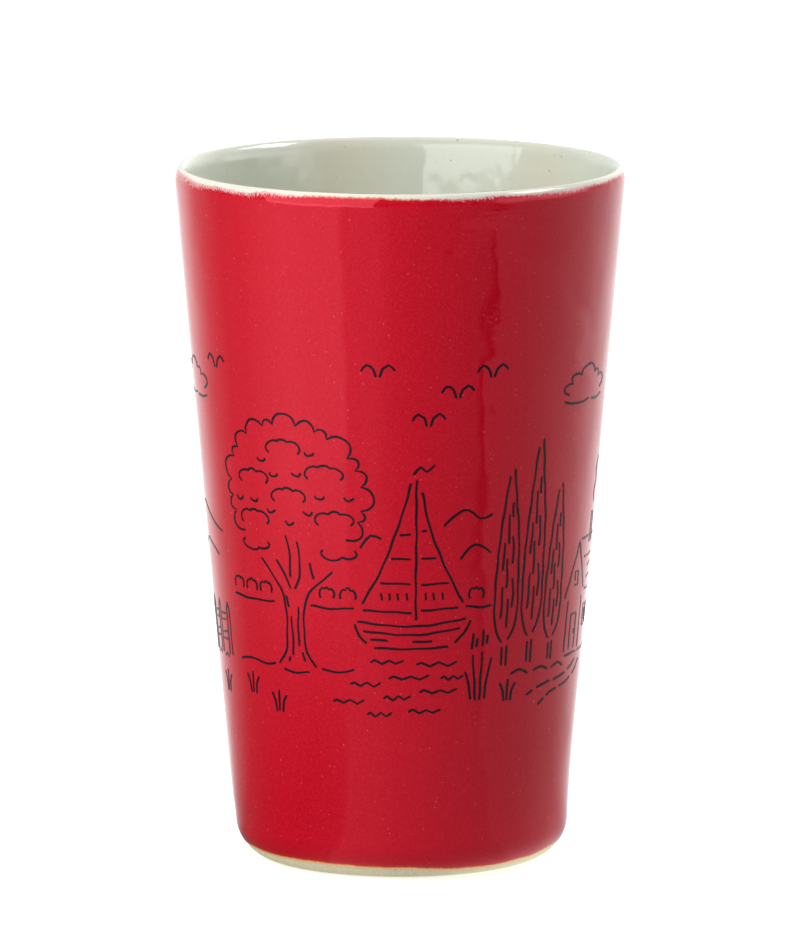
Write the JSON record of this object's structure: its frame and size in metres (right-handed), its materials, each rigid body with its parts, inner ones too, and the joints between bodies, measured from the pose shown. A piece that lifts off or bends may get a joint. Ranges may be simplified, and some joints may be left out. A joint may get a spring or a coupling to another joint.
{
  "type": "tumbler",
  "caption": "Tall tapered stoneware tumbler without a handle, red outside with a fired line drawing, pale glaze inside and over the lip.",
  "frame": {"origin": "centre of the foot, on the table plane", "axes": "+Z along the cup's axis, up through the rim; -Y is the side the picture shows"},
  "size_m": [0.0818, 0.0818, 0.1265],
  "materials": {
    "clay": "matte",
    "red_glaze": "gloss",
    "liner_glaze": "gloss",
    "ink": "gloss"
  },
  "bodies": {
    "root": {"clay_body": "clay", "red_glaze": "red_glaze", "liner_glaze": "liner_glaze", "ink_oak": "ink", "ink_sailboat": "ink", "ink_water": "ink", "ink_far_shore": "ink", "ink_poplars": "ink", "ink_cottage": "ink", "ink_fence": "ink", "ink_reeds": "ink", "ink_grass": "ink", "ink_footpath": "ink", "ink_birches": "ink", "ink_haystacks": "ink", "ink_footbridge": "ink", "ink_clouds": "ink", "ink_sun": "ink", "ink_birds": "ink"}
  },
  "joints": []
}
